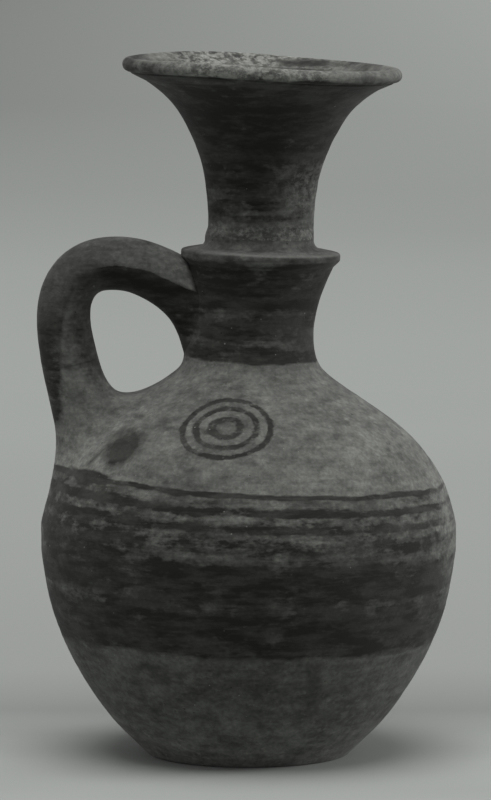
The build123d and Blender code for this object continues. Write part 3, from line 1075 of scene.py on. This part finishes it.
def neck_lime_and_highlight(clay):
    """Lime on the lip away from its two ends and in specks on the funnel, and a painted highlight in
    lime's pale colour along the ridge's top edge in front.
    """
    level = lip_level(clay)
    grains = clay.noise(*lime_grain)
    lip = lip_cover(clay) * clay.x.within(*lip_lime_x).from_to(0.05, 0.85)
    lip = lip * mouth_patch(clay).from_to(1.0, 0.0)
    foot = level.within(*foot_lime_level) * clay.x.above(*foot_lime_x).from_to(0.45, 0.95)
    side = level.within(*side_lime_level) * clay.x.above(*side_lime_x) * 0.4
    front = clay.y.below(*front_fade_y)
    # Painted highlight along the ridge's top edge, where the light falls on it
    edge = level.within(*ridge_highlight_level) * front * clay.x.above(*ridge_highlight_x) * 0.35
    specks = grains.above(*speck_edge) * foot.most(side) * front * 0.8
    return (grains.above(*lip_lime_edge) * lip * 0.95).most(specks).most(edge)


def handle_paint(clay):
    """Underside painted dark, a worn stripe down the outer back of the limb, and thin paint above."""
    turn = clay.attribute("turn_share") + clay.swing(*stripe_edge)
    stripe = (turn - (clay.z * stripe_widening - stripe_narrowing)).below(*stripe_turn)
    stripe = stripe * clay.x.below(*limb_x) * clay.z.within(*stripe_z)
    under = turn.above(*under_turn) * clay.x.above(*under_x) * clay.z.above(*under_z)
    upper = clay.z.above(*upper_z) * clay.x.below(*upper_x)
    inner = turn.above(*inner_turn) * clay.z.above(*inner_z)
    return brushed(clay, (stripe * 0.86).most(under).most(upper * 0.46).most(inner * 0.6))


def handle_shade(clay):
    """The handle is darker clay where it bends over, away from the neck."""
    return (clay.z.above(*bend_z) * clay.x.below(*bend_x)).from_to(1.0, 0.56)


def make_body_clay():
    clay = ClayTree("body_clay")
    return finish_clay(clay, body_paint(clay), lower_body_painted_shade(clay))


def make_neck_clay():
    clay = ClayTree("neck_clay")
    return finish_clay(clay, neck_paint(clay), lime=neck_lime_and_highlight(clay))


def make_handle_clay():
    clay = ClayTree("handle_clay")
    return finish_clay(clay, handle_paint(clay), handle_shade(clay))


def make_luting_clay():
    """Clay of the seams: painted like the handle on the wads, and like the body and neck next to them."""
    clay = ClayTree("luting_clay")
    under = clay.attribute("turn_share").above(0.5, 0.12) * near_neck_under
    near_neck = (hypotenuse(clay.x - near_neck_axis, clay.y) - under).below(*near_neck_radius)
    paint = body_paint(clay).most(neck_paint(clay) * near_neck)
    paint = paint.most(handle_paint(clay) * clay.attribute("handle_share"))
    # The lower body's painted shade times the handle's darker clay
    return finish_clay(clay, paint, lower_body_painted_shade(clay) * handle_shade(clay))


# Clays by their slots, and pieces as (what makes it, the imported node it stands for, its slot)
clays = {"body_clay": make_body_clay(), "neck_clay": make_neck_clay(),
         "handle_clay": make_handle_clay(), "luting_clay": make_luting_clay()}
pieces = [(make_lower_body, "lower_body", "body_clay"),
          (make_shoulder, "shoulder", "body_clay"),
          (make_belly_coil, "belly_seam_coil", "luting_clay"),
          (make_neck, "neck", "neck_clay"),
          (make_neck_coil, "neck_seam_coil", "luting_clay"),
          (make_mouth, "mouth", "neck_clay"),
          (make_mouth_coil, "mouth_seam_coil", "luting_clay"),
          (make_handle, "handle", "handle_clay"),
          (make_top_wad, "handle_top_wad", "luting_clay"),
          (make_root_wad, "handle_root_wad", "luting_clay")]
for make, node, slot in pieces:
    piece = make()
    piece.data.materials.append(clays[slot])
    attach(piece, "root")
    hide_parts(node)


# How light the floor is at distances behind the jug, in mm, and how bright it looks far behind. Both are
# painted light and shadow.
floor_light_and_shadow_tones = [(-300.0, 0.33), (-84.0, 0.33), (-20.0, 0.4), (30.0, 0.38), (102.0, 0.245), (207.0, 0.287),
               (320.0, 0.3), (584.0, 0.342), (903.0, 0.395), (1090.0, 0.455)]
floor_range = (-400.0, 1200.0)
backdrop_light_and_shade_tones = [(-1500.0, 0.3), (584.0, 0.366), (1090.0, 0.379), (1600.0, 0.373), (2115.0, 0.353),
                  (2475.0, 0.325), (2898.0, 0.307), (3400.0, 0.3), (4010.0, 0.291), (5718.0, 0.296)]
backdrop_range = (-1600.0, 6000.0)
backdrop_near = 850.0
backdrop_softness = 900.0
backdrop_side_shade_start = 2475.0
backdrop_side_shade_gain = 0.00000036
backdrop_side_shade_most = 0.0006
paper_tint = (0.955, 1.0, 0.955)
black = (0.0, 0.0, 0.0)
floor_half_side = 9.0


def make_floor():
    """A floor that goes over, far from the jug, into a backdrop which only the camera sees. Both carry
    painted light and shadow.
    """
    mesh = bpy.data.meshes.new("floor")
    side = floor_half_side
    corners = [(-side, -side, 0), (side, -side, 0), (side, side, 0), (-side, side, 0)]
    mesh.from_pydata(corners, [], [(0, 1, 2, 3)])
    paper = ClayTree("paper")
    # Painted light and shadow on the floor: lighter round the jug, which thins its shadow, and darker in a
    # band behind it
    near = paper.steps(paper.y, floor_light_and_shadow_tones, *floor_range)
    paper.finish({"Base Color": paper.blend(black, paper_tint, near), "Roughness": 0.9})
    # Painted light on the backdrop: lighter low down, darker high up, and darker towards the left far up
    side_shade_gain = ((paper.y - backdrop_side_shade_start).most(0.0) * backdrop_side_shade_gain).least(backdrop_side_shade_most)
    tone = paper.steps(paper.y, backdrop_light_and_shade_tones, *backdrop_range) * (side_shade_gain * paper.x + 1.0)
    glow = paper.add("Emission", {"Color": paper.blend(black, paper_tint, tone)})
    seen = Field(paper.tree, paper.add("LightPath", {}).outputs["Is Camera Ray"])
    far = hypotenuse(paper.x, paper.y).above(backdrop_near, backdrop_softness)
    mixed = paper.add("MixShader", {"Fac": far * seen, 1: paper.shader.outputs[0], 2: glow.outputs[0]})
    connect(paper.tree, mixed.outputs[0], paper.tree.nodes["Material Output"].inputs["Surface"])
    mesh.materials.append(paper.material)
    floor = add_object("floor", mesh)


# Studio lamps, as (name, place, size, watts), the point that they aim at, and the light all round
lamps = [("key_lamp", (-0.08, -0.35, 2.0), 1.8, 37.0), ("right_lamp", (1.9, 0.1, 0.8), 0.9, 17.0),
         ("left_lamp", (-1.9, 0.2, 0.8), 0.9, 2.5)]
lamp_aim = (0, 0, 0.12)
world_light = 0.265


def add_lamp(name, spot, size, watts):
    data = bpy.data.lights.new(name, "AREA")
    data.shape = "DISK"
    data.size = size
    data.energy = watts
    lamp = add_object(name, data)
    lamp.location = spot
    lamp.rotation_euler = (Vector(lamp_aim) - Vector(spot)).to_track_quat("-Z", "Y").to_euler()


make_floor()
for lamp in lamps:
    add_lamp(*lamp)

scene = bpy.context.scene
world = bpy.data.worlds.new("studio")
world.use_nodes = True
background = world.node_tree.nodes["Background"]
background.inputs["Color"].default_value = (1, 1, 1, 1)
background.inputs["Strength"].default_value = world_light
scene.world = world
scene.view_settings.view_transform = "Standard"

# Camera: lens and sensor in mm, place in metres, pitch below level in degrees
camera_lens = 292.6
camera_sensor = 36.0
camera_place = (-0.00105, -2.325, 0.367)
camera_pitch = 5.87
camera_data = bpy.data.cameras.new("camera")
camera_data.lens = camera_lens
camera_data.sensor_width = camera_sensor
camera = add_object("camera", camera_data)
camera.location = camera_place
camera.rotation_euler = (math.radians(90 - camera_pitch), 0, 0)
scene.camera = camera
